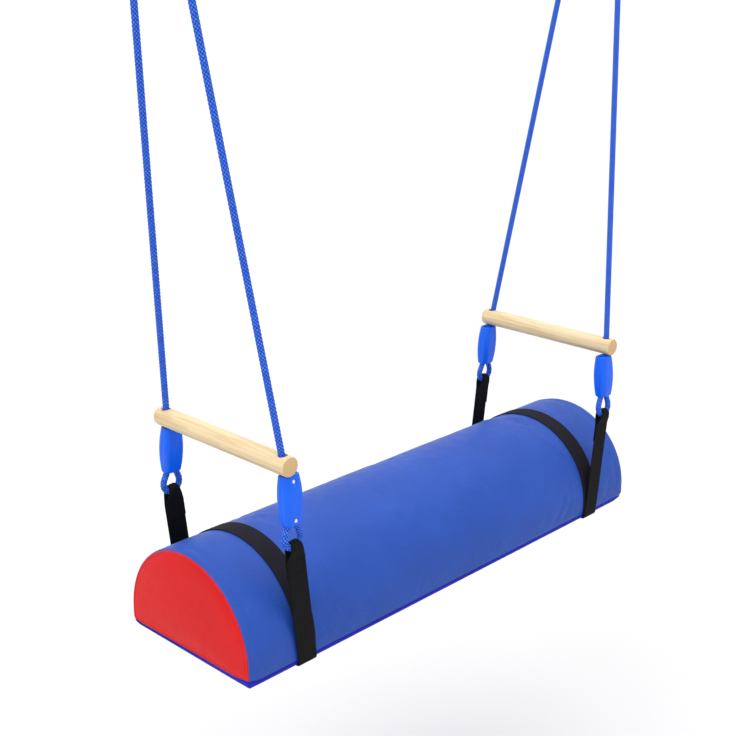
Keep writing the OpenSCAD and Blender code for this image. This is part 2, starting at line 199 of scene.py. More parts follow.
def lathe(profile, sides=48, axis="Z"):
    """A closed turned shape from points (radius, height), the first and last on the axis or not."""
    rings = []
    for r, h in profile:
        ring = []
        for k in range(sides):
            a = 2 * pi * k / sides
            p = (r * cos(a), r * sin(a), h)
            ring.append({"Z": p, "Y": (p[0], h, -p[1]), "X": (h, p[0], p[1])}[axis])
        rings.append(ring)
    return rings


def finish_piece(obj, body, material, replaced=(), sharp=35):
    tidy(obj, sharp)
    obj.data.materials.clear()
    obj.data.materials.append(material)
    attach(obj, body)
    if replaced:
        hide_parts(*replaced)
    return obj


def cut(obj, cutters):
    """Cuts the cutters out of obj and removes them."""
    for c in cutters:
        m = obj.modifiers.new("cut", "BOOLEAN")
        m.operation, m.solver, m.object = "DIFFERENCE", "EXACT", c
    bpy.context.view_layer.update()
    graph = bpy.context.evaluated_depsgraph_get()
    mesh = bpy.data.meshes.new_from_object(obj.evaluated_get(graph))
    obj.modifiers.clear()
    obj.data = mesh
    for c in cutters:
        bpy.data.objects.remove(c)
    return obj


def point_values(obj, name, values):
    a = obj.data.attributes.new(name, "FLOAT_VECTOR", "POINT")
    a.data.foreach_set("vector", np.asarray(values, np.float32).ravel())


def smooth_step(x):
    x = min(1, max(0, x))
    return x * x * (3 - 2 * x)


# ---------- materials ----------

class Nodes:
    """A short way to wire one material's nodes."""

    def __init__(self, name):
        self.material = bpy.data.materials.new(name)
        self.material.use_nodes = True
        self.tree = self.material.node_tree
        self.shader = self.tree.nodes["Principled BSDF"]

    def add(self, kind, **values):
        node = self.tree.nodes.new("ShaderNode" + kind)
        for key, value in values.items():
            if hasattr(node, key):
                setattr(node, key, value)
            else:
                self.put(node.inputs[key.replace("_", " ")], value)
        return node

    def put(self, socket, value):
        if isinstance(value, bpy.types.NodeSocket):
            self.tree.links.new(value, socket)
        else:
            socket.default_value = value

    def set(self, **values):
        for key, value in values.items():
            self.put(self.shader.inputs[key.replace("_", " ")], value)

    def math(self, operation, a, b=0.0, clamp=False):
        node = self.tree.nodes.new("ShaderNodeMath")
        node.operation, node.use_clamp = operation, clamp
        self.put(node.inputs[0], a)
        self.put(node.inputs[1], b)
        return node.outputs[0]

    def mix(self, fac, a, b, blend="MIX"):
        node = self.tree.nodes.new("ShaderNodeMix")
        node.data_type, node.blend_type = "RGBA", blend
        self.put(node.inputs["Factor"], fac)
        self.put(node.inputs[6], a)
        self.put(node.inputs[7], b)
        return node.outputs[2]

    def coords(self, scale=(1, 1, 1), source="Object"):
        node = self.tree.nodes.new("ShaderNodeMapping")
        node.inputs["Scale"].default_value = scale
        self.put(node.inputs[0], self.tree.nodes.new("ShaderNodeTexCoord").outputs[source])
        return node.outputs[0]

    def attribute(self, name, scale=None):
        node = self.tree.nodes.new("ShaderNodeAttribute")
        node.attribute_name = name
        if scale is None:
            return node.outputs["Vector"]
        m = self.tree.nodes.new("ShaderNodeMapping")
        m.inputs["Scale"].default_value = scale
        self.put(m.inputs[0], node.outputs["Vector"])
        return m.outputs[0]

    def noise(self, vector, scale, detail=2.0, rough=0.5):
        node = self.add("TexNoise", Scale=scale, Detail=detail, Roughness=rough)
        self.put(node.inputs["Vector"], vector)
        return node.outputs["Fac"]

    def voronoi(self, vector, scale, feature="SMOOTH_F1"):
        node = self.add("TexVoronoi", feature=feature)
        node.inputs["Scale"].default_value = scale
        self.put(node.inputs["Vector"], vector)
        return node.outputs["Distance"]

    def wave(self, vector, scale, distortion=0.0, direction="X", detail=0.0, profile="SIN"):
        node = self.add("TexWave", Scale=scale, Distortion=distortion, Detail=detail)
        node.bands_direction, node.wave_profile = direction, profile
        self.put(node.inputs["Vector"], vector)
        return node.outputs["Fac"]

    def span(self, value, low, high, new_low=0.0, new_high=1.0):
        node = self.add("MapRange")
        for i, v in enumerate((value, low, high, new_low, new_high)):
            self.put(node.inputs[i], v)
        return node.outputs["Result"]

    def bump(self, height, strength=0.3, distance=0.0005, below=None):
        node = self.add("Bump", Strength=strength, Distance=distance)
        self.put(node.inputs["Height"], height)
        if below is not None:
            self.put(node.inputs["Normal"], below)
        return node.outputs["Normal"]


def rgb(hexa, gain=1.0):
    """A colour as it looks on a screen, as Blender's linear one."""
    v = [int(hexa[i:i + 2], 16) / 255 for i in (0, 2, 4)]
    lin = [c / 12.92 if c <= 0.04045 else ((c + 0.055) / 1.055) ** 2.4 for c in v]
    return (*(min(1, c * gain) for c in lin), 1)


def vinyl(name, color, dark, light, rough=0.46):
    """Coated fabric: a fine leather grain, soft mottling, and rubbed places along the seams."""
    n = Nodes(name)
    at = n.coords()
    cloud = n.noise(at, 9, 3)
    fine = n.noise(at, 420, 2)
    base = n.mix(n.span(cloud, 0.3, 0.7), rgb(dark), rgb(color))
    base = n.mix(n.span(fine, 0.35, 0.75, 0.0, 0.25), base, rgb(light))
    rub = n.math("MULTIPLY", n.span(n.noise(at, 34, 4, 0.62), 0.56, 0.72), 0.3)
    edge = n.add("NewGeometry").outputs["Pointiness"]
    worn = n.math("MULTIPLY", n.span(edge, 0.52, 0.6), rub, True)
    base = n.mix(worn, base, rgb(light))
    cells = n.voronoi(at, 780)
    pores = n.noise(at, 1500, 2)
    grain = n.math("ADD", n.math("MULTIPLY", cells, 0.8), n.math("MULTIPLY", pores, 0.35))
    n.set(Base_Color=base, Normal=n.bump(grain, 0.32, 0.0004))
    n.set(Roughness=n.span(n.noise(at, 60, 3), 0.25, 0.75, rough - 0.06, rough + 0.08))
    n.shader.inputs["Specular IOR Level"].default_value = 0.18
    return n.material


def webbing(name, color, light):
    """Woven strap: the attribute strip holds metres along and across it."""
    n = Nodes(name)
    at = n.attribute("strip")
    across = n.wave(at, 160, 0.25, "Y")
    twill_at = n.attribute("strip", (1, 2.2, 1))
    twill = n.wave(twill_at, 130, 0.35, "DIAGONAL", 1.0)
    fuzz = n.noise(n.attribute("strip", (1, 3, 1)), 2600, 3)
    weave = n.math("MULTIPLY", twill, n.math("ADD", n.math("MULTIPLY", across, 0.5), 0.5))
    base = n.mix(n.span(weave, 0.2, 0.9), rgb(color), rgb(light))
    base = n.mix(n.span(n.noise(n.coords(), 30, 3), 0.45, 0.75, 0.0, 0.35), base, rgb(light))
    n.set(Base_Color=base, Roughness=n.span(fuzz, 0.2, 0.8, 0.62, 0.86))
    n.set(Normal=n.bump(fuzz, 0.25, 0.0003, n.bump(weave, 0.75, 0.0006)))
    n.shader.inputs["Specular IOR Level"].default_value = 0.12
    return n.material


def braid(name, color, dark, light):
    """Braided rope: the attribute strand holds metres along it, the place round it and the relief. The colour
    holds painted shade, darker in the low places between the strands, and a patchy painted highlight on the
    strands' crowns.
    """
    n = Nodes(name)
    split = n.add("SeparateXYZ")
    n.put(split.inputs[0], n.attribute("strand"))
    high = split.outputs["Z"]
    # painted shade: the dark colour fills the low places between the strands, where the braid's relief lies
    # in shadow
    base = n.mix(n.span(high, 0.2, 0.8), rgb(dark), rgb(color))
    flecks = n.noise(n.attribute("strand", (1, 0.01, 0)), 900, 3, 0.6)
    # painted highlight: patchy paler colour on the crowns of the strands
    crown_highlight = n.math("MULTIPLY", n.span(flecks, 0.45, 0.65), n.span(high, 0.5, 0.95), True)
    base = n.mix(crown_highlight, base, rgb(light))
    fibres = n.wave(n.attribute("strand", (1, 0.012, 0)), 700, 2.0, "DIAGONAL", 2.0)
    n.set(Base_Color=base, Roughness=n.span(flecks, 0.3, 0.7, 0.42, 0.62))
    n.set(Normal=n.bump(fibres, 0.35, 0.0003))
    n.shader.inputs["Specular IOR Level"].default_value = 0.3
    return n.material


def moulded(name, color, light):
    """Moulded plastic with a fine spark-eroded finish and slightly paler rubbed edges."""
    n = Nodes(name)
    at = n.coords()
    base = n.mix(n.span(n.noise(at, 25, 2), 0.35, 0.7, 0.0, 0.35), rgb(color), rgb(light))
    edge = n.span(n.add("NewGeometry").outputs["Pointiness"], 0.53, 0.62, 0.0, 0.45)
    base = n.mix(n.math("MULTIPLY", edge, n.span(n.noise(at, 160, 3), 0.4, 0.6), True), base, rgb("3f86ff"))
    texture = n.noise(at, 2300, 3, 0.6)
    n.set(Base_Color=base, Roughness=n.span(n.noise(at, 90, 3), 0.3, 0.7, 0.3, 0.42))
    n.set(Normal=n.bump(texture, 0.12, 0.0002))
    n.shader.inputs["Specular IOR Level"].default_value = 0.28
    return n.material


def timber(name, color, line, end):
    """Turned hardwood: growth rings cut by the bar, fibres along Y, darker end grain."""
    n = Nodes(name)
    at = n.coords((1, 0.06, 1))
    warp = n.noise(at, 22, 3)
    split = n.add("SeparateXYZ")
    n.put(split.inputs[0], n.coords())
    rings = n.add("TexWave", wave_type="RINGS", Scale=75, Distortion=1.6, Detail=2)
    rings.rings_direction, rings.wave_profile = "Y", "SAW"
    off = n.add("Mapping")
    off.inputs["Location"].default_value = (0.02, 0, 1.26)
    off.inputs["Scale"].default_value = (1, 0.05, 1)
    n.put(off.inputs[0], n.add("TexCoord").outputs["Object"])
    n.put(rings.inputs["Vector"], off.outputs[0])
    rings.inputs["Detail Scale"].default_value = 1.5
    fibre = n.noise(n.coords((1, 0.02, 1)), 700, 4, 0.6)
    streak = n.noise(n.coords((1, 0.045, 1)), 170, 4, 0.65)
    pores = n.noise(n.coords((1, 0.05, 1)), 1900, 2)
    base = n.mix(n.span(rings.outputs["Fac"], 0.55, 1.0, 0.0, 0.25), rgb(color), rgb(line))
    base = n.mix(n.span(warp, 0.35, 0.7, 0.0, 0.4), base, rgb("e6d2aa"))
    base = n.mix(n.span(streak, 0.46, 0.66, 0.0, 0.65), base, rgb(line))
    base = n.mix(n.span(fibre, 0.5, 0.75, 0.0, 0.3), base, rgb(line))
    normal = n.add("SeparateXYZ")
    n.put(normal.inputs[0], n.add("NewGeometry").outputs["Normal"])
    face = n.span(n.math("ABSOLUTE", normal.outputs["Y"]), 0.75, 0.95)
    cut_end = n.mix(n.span(rings.outputs["Fac"], 0.3, 1.0, 0.0, 0.6), rgb("cba878"), rgb(end))
    base = n.mix(face, base, cut_end)
    n.set(Base_Color=base, Roughness=n.span(fibre, 0.3, 0.7, 0.42, 0.58))
    n.set(Normal=n.bump(pores, 0.2, 0.0003, n.bump(fibre, 0.3, 0.0004)))
    return n.material


def zinc(name, color, dark, rough):
    """Plated steel: faint crystals in the plating, fine scratches and dull spots."""
    n = Nodes(name)
    at = n.coords()
    spangle = n.voronoi(at, 190, "F1")
    haze = n.noise(at, 70, 4, 0.6)
    scratch = n.noise(n.coords((1, 1, 0.08)), 900, 3)
    base = n.mix(n.span(haze, 0.35, 0.7), rgb(dark), rgb(color))
    n.set(Base_Color=base)
    n.shader.inputs["Metallic"].default_value = 1.0
    cloudy = n.math("ADD", n.math("MULTIPLY", spangle, 0.35), haze)
    n.set(Roughness=n.span(cloudy, 0.3, 1.0, rough - 0.1, rough + 0.14))
    n.set(Normal=n.bump(scratch, 0.12, 0.0002))
    return n.material


def board(name):
    n = Nodes(name)
    at = n.coords((0.05, 1, 1))
    veins = n.noise(at, 120, 4)
    plies = n.wave(n.coords(), 90, 0.2, "Z")
    base = n.mix(n.span(veins, 0.35, 0.7), rgb("c9a06a"), rgb("e0c08e"))
    base = n.mix(n.span(plies, 0.6, 0.9, 0.0, 0.3), base, rgb("9c7644"))
    n.set(Base_Color=base, Roughness=n.span(veins, 0.3, 0.7, 0.6, 0.75), Normal=n.bump(veins, 0.25, 0.0004))
    return n.material


BLUE_VINYL = vinyl("blue_vinyl", "2249a2", "1e4296", "325ab2")
INDIGO_VINYL = vinyl("indigo_vinyl", "1313a6", "101098", "2222b4")
RED_VINYL = vinyl("red_vinyl", "cb0406", "bf0305", "d61012")
WEB = webbing("black_webbing", "060608", "131317")
BAND_WEB = webbing("band_webbing", "100f15", "1f1d2a")
THREAD = webbing("thread", "101014", "1d1d24")
# The rope's dark colour is painted shade between its strands; its light colour is a painted highlight on
# their crowns
ROPE = braid("blue_braid", "1c62e2", "04166a", "64a0fc")
CLAMP = moulded("blue_plastic", "005ae0", "0866ea")
WOOD = timber("turned_wood", "d3bf99", "b99866", "b8935c")
PLATED = zinc("plated_steel", "c9ccd0", "9a9ea3", 0.36)
SCREW = zinc("screw_steel", "f4f5f7", "dcdee2", 0.34)
PLYWOOD = board("plywood")

# ---------- ropes ----------

# The route of part.scad: round a lower eye, through the bar, up the run and round an upper eye
EYE_ROUTE = [
    (-8.5, 94), (-8.5, 62), (-8.5, 28), (-9.3, 20), (-11.6, 14), (-14.2, 8), (-15.8, 2),
    (-15.4, -4.4), (-12.8, -9.6), (-8.7, -13.4), (-3, -15.7), (3, -15.7), (8.7, -13.4),
    (12.8, -9.6), (15.4, -4.4), (15.8, 2), (14.2, 8), (11.6, 14), (9.3, 20), (8.5, 28),
    (8.5, 62), (8.5, 100)]
RUN_ROUTE = [18, 140, 380, 620, 860]


def lower_point(p):
    return Vector((eye_x + p[0], eye_y - p[1] * sin(clamp_lean), eye_z + p[1] * cos(clamp_lean)))


def upper_point(p):
    return Vector((top_x + p[0] * cos(rope_lean) - p[1] * cos(rope_in) * sin(rope_lean),
                   pin_side + p[1] * sin(rope_in),
                   top_z - p[0] * sin(rope_lean) - p[1] * cos(rope_in) * cos(rope_lean)))


def rope_route():
    return ([lower_point(p) for p in EYE_ROUTE] + [Vector((bar_x, hole_y, bar_z))]
            + [upper_point((run_x, rope_run - h)) for h in RUN_ROUTE]
            + [upper_point(p) for p in reversed(EYE_ROUTE)])


def smooth_line(points, step):
    """Points about a step apart on a centripetal Catmull-Rom curve through the given ones."""
    p = [np.array(q, float) for q in points]
    p = [2 * p[0] - p[1]] + p + [2 * p[-1] - p[-2]]
    out = []
    for a, b, c, d in zip(p, p[1:], p[2:], p[3:]):
        t = np.cumsum([0] + [np.linalg.norm(q - r) ** 0.5 for q, r in ((b, a), (c, b), (d, c))])
        n = max(1, round(np.linalg.norm(c - b) / step))
        for u in t[1] + (t[2] - t[1]) * np.arange(n) / n:
            ab = a + (b - a) * (u - t[0]) / (t[1] - t[0])
            bc = b + (c - b) * (u - t[1]) / (t[2] - t[1])
            cd = c + (d - c) * (u - t[2]) / (t[3] - t[2])
            abc = ab + (bc - ab) * (u - t[0]) / (t[2] - t[0])
            bcd = bc + (cd - bc) * (u - t[1]) / (t[3] - t[1])
            out.append(abc + (bcd - abc) * (u - t[1]) / (t[2] - t[1]))
    out.append(p[-2])
    return np.array(out)


ROPE_SIDES, ROPE_STEP = 36, 0.9
STRANDS, PICK = 6, 6.0
BRAID_FLOOR, BRAID_RELIEF = 0.55, 1.2   # the braid's lowest points under the rope's radius, and its rise


def rope_piece(name, mirror, body):
    """A tube whose surface rises and falls as STRANDS strands cross each way. The highest points
    stand 0.65 mm outside the rope's radius, and touch the strap's eye and the clamp's channel."""
    line = smooth_line(rope_route(), ROPE_STEP) * np.array(mirror)
    tangent = np.gradient(line, axis=0)
    tangent /= np.linalg.norm(tangent, axis=1, keepdims=True)
    b = np.array((0, 1, 0)) - tangent[:, 1:2] * tangent
    b /= np.linalg.norm(b, axis=1, keepdims=True)
    n = np.cross(tangent, b)
    along = np.concatenate([[0], np.cumsum(np.linalg.norm(np.diff(line, axis=0), axis=1))])
    angle = 2 * pi * np.arange(ROPE_SIDES) / ROPE_SIDES
    s, a = np.meshgrid(along, angle, indexing="ij")
    u, v = STRANDS * a / (2 * pi) + s / PICK, STRANDS * a / (2 * pi) - s / PICK
    over = (np.floor(u + 1e-6) + np.floor(v + 1e-6)) % 2 == 0
    across, length = np.where(over, u % 1, v % 1), np.where(over, v % 1, u % 1)
    high = np.sin(pi * across) ** 0.7 * (0.45 + 0.55 * np.sin(pi * length))
    radius = rope_r - BRAID_FLOOR + BRAID_RELIEF * high
    points = (line[:, None] + radius[..., None]
              * (np.cos(a)[..., None] * n[:, None] + np.sin(a)[..., None] * b[:, None]))
    rows, k = len(line), ROPE_SIDES
    i, j = np.meshgrid(np.arange(rows - 1) * k, np.arange(k), indexing="ij")
    nxt = (j + 1) % k
    quads = np.stack([i + j, i + nxt, i + nxt + k, i + j + k], -1).reshape(-1, 4)
    faces = quads.tolist() + [list(range(k - 1, -1, -1)), list(range((rows - 1) * k, rows * k))]
    obj = mesh_object(name, points.reshape(-1, 3), faces)
    strand = np.stack([s * MM, a * rope_r * MM, high], -1).reshape(-1, 3)
    point_values(obj, "strand", strand)
    path = [hung(Matrix.Identity(4)) @ Vector(p) for p in line]
    finish_piece(obj, body, ROPE, [name], sharp=180)
    obj.name = name + "_braid"
    length = sum((q - p).length for p, q in zip(path, path[1:]))
    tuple(path[0])
    return length


ROPES = {"rope_left_front": ((-1, -1, 1), "left_ropes"), "rope_left_back": ((-1, 1, 1), "left_ropes"),
         "rope_right_front": ((1, -1, 1), "right_ropes"), "rope_right_back": ((1, 1, 1), "right_ropes")}
for rope_name, (mirror, rope_body) in ROPES.items():
    rope_piece(rope_name, mirror, rope_body)


# ---------- the padded seat ----------

def outline(grow, low, turn=2.0, rise=3.0):
    """The seat's section as points (y, z), from the front edge over the top to the back edge."""
    r = arch_r + grow
    n = max(2, round((side_rise - low) / rise))
    side = [(r, low + (side_rise - low) * i / n) for i in range(n)]
    steps = round(180 / turn)
    arc = [(-r * cos(pi * i / steps), side_rise + r * sin(pi * i / steps)) for i in range(steps + 1)]
    return [(-y, z) for y, z in side] + arc + [(y, z) for y, z in reversed(side)]


def soften(x, y, z):
    """Moves a point of the seat's skin as its ends do: the seam over the base dips at one corner of
    each end and climbs to a small ear at the other, and the dipping corner is round."""
    across = y if x > 0 else -y
    to_end = seat_length / 2 - abs(x)
    slope = -2.6 * (1 - across / arch_r) / 2 * math.exp(-(to_end / 12) ** 2)
    ear = 6 * math.exp(-((arch_r - across) / 22) ** 2 - (to_end / 13) ** 2)
    share = z / base_rim if z < base_rim else math.exp(-(z - base_rim) / 12)
    corner = ((1 - smooth_step((arch_r + across) / 16)) * (1 - smooth_step(z / 16))
              * (1 - smooth_step(to_end / 26)))
    return (x, y - math.copysign(3 * corner, y), z + share * (0.8 + slope + ear) + 3.5 * corner)


def near_band(x):
    """0 under a band and beside it, 1 where the cover is free of it."""
    gap = abs(abs(x) - strap_x) - web_width / 2
    return smooth_step((gap - 0.5) / 16)


def inflate(verts, faces, pinned, most):
    """Lets cloth of that shape swell under pressure, held at its pins, and gives how far each point went."""
    obj = tidy(mesh_object("swell", verts, faces))
    group = obj.vertex_groups.new(name="pin")
    for i, w in enumerate(pinned):
        if w > 0:
            group.add([i], w, "REPLACE")
    cloth = obj.modifiers.new("cloth", "CLOTH")
    s = cloth.settings
    s.quality, s.mass, s.tension_stiffness, s.compression_stiffness = 4, 0.3, 12, 8
    s.shear_stiffness, s.bending_stiffness = 6, 0.6
    s.shrink_min = -0.006
    s.vertex_group_mass = "pin"
    s.use_pressure, s.uniform_pressure_force = True, 4
    s.effector_weights.gravity = 0
    cloth.collision_settings.use_collision = False
    cloth.collision_settings.use_self_collision = False
    scene = bpy.context.scene
    for f in range(1, 16):
        scene.frame_set(f)
    graph = bpy.context.evaluated_depsgraph_get()
    mesh = obj.evaluated_get(graph).to_mesh()
    now = np.zeros(len(verts) * 3, np.float32)
    mesh.vertices.foreach_get("co", now)
    start = np.zeros(len(verts) * 3, np.float32)
    obj.data.vertices.foreach_get("co", start)
    normals = np.array([v.normal for v in obj.data.vertices], float)
    moved_by = ((now - start).reshape(-1, 3) * normals).sum(1) / MM
    bpy.data.objects.remove(obj)
    scene.frame_set(1)
    return moved_by, normals


def cover():
    half = seat_length / 2 - cover_t
    ends = [(0, 2.4), (0.4, 1.3), (1.0, 0.55), (2.0, 0.15), (3.4, 0)]
    inner = [-half + 9 + (2 * half - 18) * i / 164 for i in range(165)]
    stations = ([(-half + d, g) for d, g in ends] + [(x, 0) for x in inner]
                + [(half - d, g) for d, g in reversed(ends)])
    rings, pins = [], []
    for x, inset in stations:
        line = outline(-inset, base_rim + 0.25)
        edge = {0: 1.8, 1: 0.5, 2: 0.1}
        n = len(line)
        ring = []
        for k, (y, z) in enumerate(line):
            tuck = edge.get(min(k, n - 1 - k), 0)
            ring.append(soften(x, y - math.copysign(tuck, y), z))
            low = min(k, n - 1 - k)
            hold = max(0 if low > 4 else 1 - low / 5, 1 - near_band(x), 1 - smooth_step((half - abs(x)) / 12))
            pins.append(hold)
        bottom = 12
        y0, z0 = line[-1]
        for i in range(1, bottom):
            ring.append((x, (y0 - 1.8) * (1 - 2 * i / bottom), z0))
            pins.append(1)
        rings.append(ring)
    verts, faces = loft(rings)
    swell, normals = inflate(verts, faces, pins, 3)
    swell = np.clip(swell, -0.3, 2.8)
    co = np.array(verts)
    n = len(rings[0])
    x, y, z = co.T
    arc = np.arctan2(z - side_rise, y) * arch_r
    to_end = half - np.abs(x)
    pucker = -0.15 * np.exp(-((to_end - 5) / 7) ** 2)
    pucker = pucker * (0.5 + 0.5 * np.cos(arc / 4.1 + 0.9 * np.sin(arc / 23)))
    free = 1 - np.array(pins)
    slack = 0.35 * np.sin(x / 61 + 0.8 * np.sin(arc / 57)) * np.sin(arc / 43 + x / 190)
    shift = swell + free * slack
    is_top = np.arange(len(co)) % n < len(outline(0, base_rim))
    shift = np.where(is_top, shift + pucker, 0)
    co = co + normals * shift[:, None]
    obj = mesh_object("cushion_cover", co, faces)
    finish_piece(obj, "seat", BLUE_VINYL, ["top_cover", "foam_core"], sharp=60)


cover()


def panel_loop(inset, count=340):
    """The end panel's D shape as a closed loop of (y, z), moved inwards and evenly spaced."""
    low = base_rim + 0.4 + inset
    r = arch_r - 0.5 - inset
    if low < side_rise:
        corner = min(max(3 - inset, 0.3), side_rise - low)
        half = [(0, low), (r - corner, low)]
        half += [(r - corner + corner * sin(a), low + corner - corner * cos(a))
                 for a in (pi / 2 * i / 6 for i in range(1, 7))]
        first = 0
    else:
        first = asin(min(1, (low - side_rise) / r))
        half = [(0, low), (r * cos(first), low)]
    half += [(r * cos(a), side_rise + r * sin(a))
             for a in (first + (pi / 2 - first) * i / 90 for i in range(1, 91))]
    points = np.array(half + [(-y, z) for y, z in half[-2:0:-1]] + half[:1], float)
    d = np.concatenate([[0], np.cumsum(np.hypot(*np.diff(points, axis=0).T))])
    at = d[-1] * np.arange(count) / count
    return list(zip(np.interp(at, d, points[:, 0]), np.interp(at, d, points[:, 1])))


# How far the padded end panel stands out at each distance from its seam
END_PROFILE = [(0, 0), (0.15, 0.7), (0.6, 1.3), (1.4, 1.65), (2.4, 1.6), (3.4, 1.15), (4.2, 0.85), (5.2, 1.0),
               (7, 1.35), (9.5, 1.6), (12.5, 1.7), (16, 1.7), (20, 1.7), (25, 1.7), (31, 1.7), (38, 1.7),
               (45, 1.7), (52, 1.7), (59, 1.7), (66, 1.7), (73, 1.7), (78, 1.7), (81, 1.7)]


def end_panel(end, sign):
    plane = seat_length / 2 - cover_t - 0.2
    rings = []
    for inset, out in END_PROFILE:
        ring = []
        for k, (y, z) in enumerate(panel_loop(inset + 1.6)):
            dome = 3.4 * (1 - (y / arch_r) ** 2) * (1 - ((z - 88) / 96) ** 2) * smooth_step(inset / 28)
            ripple = 0.2 * math.exp(-((inset - 6) / 3) ** 2) * cos(k * 1.7 + 0.8 * sin(k * 0.29))
            soft = 0.35 * sin(y / 31 + 1) * sin(z / 27) * smooth_step(inset / 20)
            side, high = soften(plane, y, z)[1:]
            ring.append((plane + out + dome + ripple + soft, side, high))
        rings.append(ring)
    back = [(plane - 0.6, y, z) for x, y, z in rings[0]]
    verts, faces = loft([back] + rings)
    obj = mesh_object(f"cushion_end_{end}", [(sign * x, y * sign, z) for x, y, z in verts], faces)
    finish_piece(obj, "seat", RED_VINYL, [f"end_panel_{end}"], sharp=70)


end_panel("left", -1)
end_panel("right", 1)


def base_panel():
    """The dark base: a shallow pan of coated fabric under the board, with its corners rounded."""
    hx, hy = seat_length / 2, arch_r
    profile = [(1.3, 5.9), (0.5, 5.5), (0.1, 4.9), (0, 3.8), (0.25, 2.2), (0.95, 1.0), (2.0, 0.3), (3.6, 0.0),
               (9, 0), (10.2, 0.25), (11.4, 0), (30, 0), (80, 0), (130, 0)]

    def loop(inset, z):
        r = max(5 - inset, 1.0)
        points = []
        for cx, cy, start in ((1, 1, 0), (-1, 1, 90), (-1, -1, 180), (1, -1, 270)):
            for i in range(7):
                a = radians(start + 15 * i)
                points.append((cx * (hx - inset - r) + r * cos(a), cy * (hy - inset - r) + r * sin(a), z))
        full = []
        for p, q in zip(points, points[1:] + points[:1]):
            run = hypot(q[0] - p[0], q[1] - p[1])
            n = max(1, round(run / 12)) if run > 20 else 1
            full += [tuple(p[j] + (q[j] - p[j]) * i / n for j in range(3)) for i in range(n)]
        return full

    counts = [len(loop(inset, z)) for inset, z in profile]
    n = counts[0]

    def even(points):
        """The loop with a fixed number of points, so that loops of all sizes join."""
        if len(points) == n:
            return points
        d = [0]
        for p, q in zip(points, points[1:] + points[:1]):
            d.append(d[-1] + hypot(q[0] - p[0], q[1] - p[1]))
        closed = points + points[:1]
        return [tuple(np.array([np.interp(d[-1] * i / n, d, [p[j] for p in closed])
                                for j in range(3)])) for i in range(n)]

    outer = [even(loop(inset, z)) for inset, z in profile]
    inner = [even(loop(inset + cover_t, z + cover_t)) for inset, z in reversed(profile) if z + cover_t < 5.6]
    rim = even(loop(1.3 + cover_t * 0.6, 5.75))
    verts, faces = loft(list(reversed(outer)) + [rim] + list(reversed(inner)), cap=False)
    verts = [soften(*v) for v in verts]
    count = len(verts)
    first = tuple(range(n))
    faces.append(tuple(reversed(first)))
    faces.append(tuple(range(count - n, count)))
    obj = mesh_object("cushion_base", verts, faces)
    finish_piece(obj, "seat", INDIGO_VINYL, ["base_panel"], sharp=60)


base_panel()


# ---------- webbing ----------

RIBS = 12
ACROSS = 37


def strip(name, stations, end):
    """A closed strip of webbing. Each station is (distance along it, half width, outer, inner), and
    outer(x, t) and inner(x, t) give the points of its two faces at x millimetres from its middle."""
    t_values = [-1 + 2 * k / (ACROSS - 1) for k in range(ACROSS)]
    rings, marks = [], []
    for s, half, outer, inner in stations:
        top, low = [], []
        for t in t_values:
            edge = 1 if abs(t) < 0.94 else 0.35 + 0.65 * sqrt(max(0, 1 - ((abs(t) - 0.94) / 0.06) ** 2))
            rib = 0.11 * cos(pi * RIBS * (t + 1)) - 0.11
            p, q = Vector(outer(half * t, t)), Vector(inner(half * t, t))
            mid, d = (p + q) / 2, (p - q) / 2
            d = d * (edge + rib / max(d.length, 1e-6))
            top.append(mid + d)
            low.append(mid - d)
        rings.append(top + low[::-1])
        marks += [(s * MM, half * t * MM, 0) for t in t_values]
        marks += [(s * MM, half * t * MM, 1) for t in t_values[::-1]]
    n = 2 * ACROSS
    verts, faces = loft(rings, cap=False)
    for at in (0, (len(rings) - 1) * n):
        for k in range(ACROSS - 1):
            quad = (at + k, at + k + 1, at + n - 2 - k, at + n - 1 - k)
            faces.append(quad if at else quad[::-1])
    obj = mesh_object(name, [ENDS[end] @ Vector(v) for v in verts], faces)
    point_values(obj, "strip", marks)
    return obj


def band(end):
    line = outline(0, 10, 2.0, 3.0)
    stations, s = [], 0
    for k, (y, z) in enumerate(line):
        before, after = line[max(k - 1, 0)], line[min(k + 1, len(line) - 1)]
        t = Vector((0, after[0] - before[0], after[1] - before[1])).normalized()
        n = Vector((0, -t.z, t.y))
        if k:
            s += hypot(y - line[k - 1][0], z - line[k - 1][1])
        mid = Vector((strap_x, y, z))
        stations.append((s, web_width / 2,
                         lambda x, t, m=mid, n=n: m + n * (fit + web_t) + Vector((x, 0, 0)),
                         lambda x, t, m=mid, n=n: m + n * fit + Vector((x, 0, 0))))
    obj = strip(f"band_{end}", stations, end)
    finish_piece(obj, "seat", BAND_WEB, [f"top_band_{end}"], sharp=60)


def leaned(x, y, h):
    """A point of the hanging strap: x across it, y outwards and h up it, in the seat's frame."""
    a = strap_lean * smooth_step((h + 1) / 24)
    return Vector((strap_x + x * cos(a) + h * sin(a), y, h * cos(a) - x * sin(a)))


def strap_line():
    """The middle of the strap's back half: from under the seat up to the arch over the rope."""
    corners = [(0, -1.3), (strap_in + 1, -1.3), (strap_in + 1, side_rise + 7.5), (slot_y + 1, sewn_low),
               (slot_y + 1, slot_foot - 2), (slot_y + 7, slot_low), (slot_y + 7, ARCH_FOOT)]
    return rounded(corners)


ARCH_FOOT = eye_up - loop_r + rope_r


def rounded(corners, step=1.0, window=4):
    dense = []
    for (a, b), (c, d) in zip(corners, corners[1:]):
        n = max(1, round(hypot(c - a, d - b) / step))
        dense += [(a + (c - a) * i / n, b + (d - b) * i / n) for i in range(n)]
    dense.append(corners[-1])
    line = np.array(dense)
    for _ in range(2):
        padded = np.concatenate([np.repeat(line[:1], window, 0), line, np.repeat(line[-1:], window, 0)])
        padded[:window] = 2 * line[0] - line[1:window + 1][::-1]
        padded[-window:] = 2 * line[-1] - line[-window - 1:-1][::-1]
        kernel = np.ones(2 * window + 1) / (2 * window + 1)
        line = np.stack([np.convolve(padded[:, j], kernel, "valid") for j in range(2)], 1)
    return line


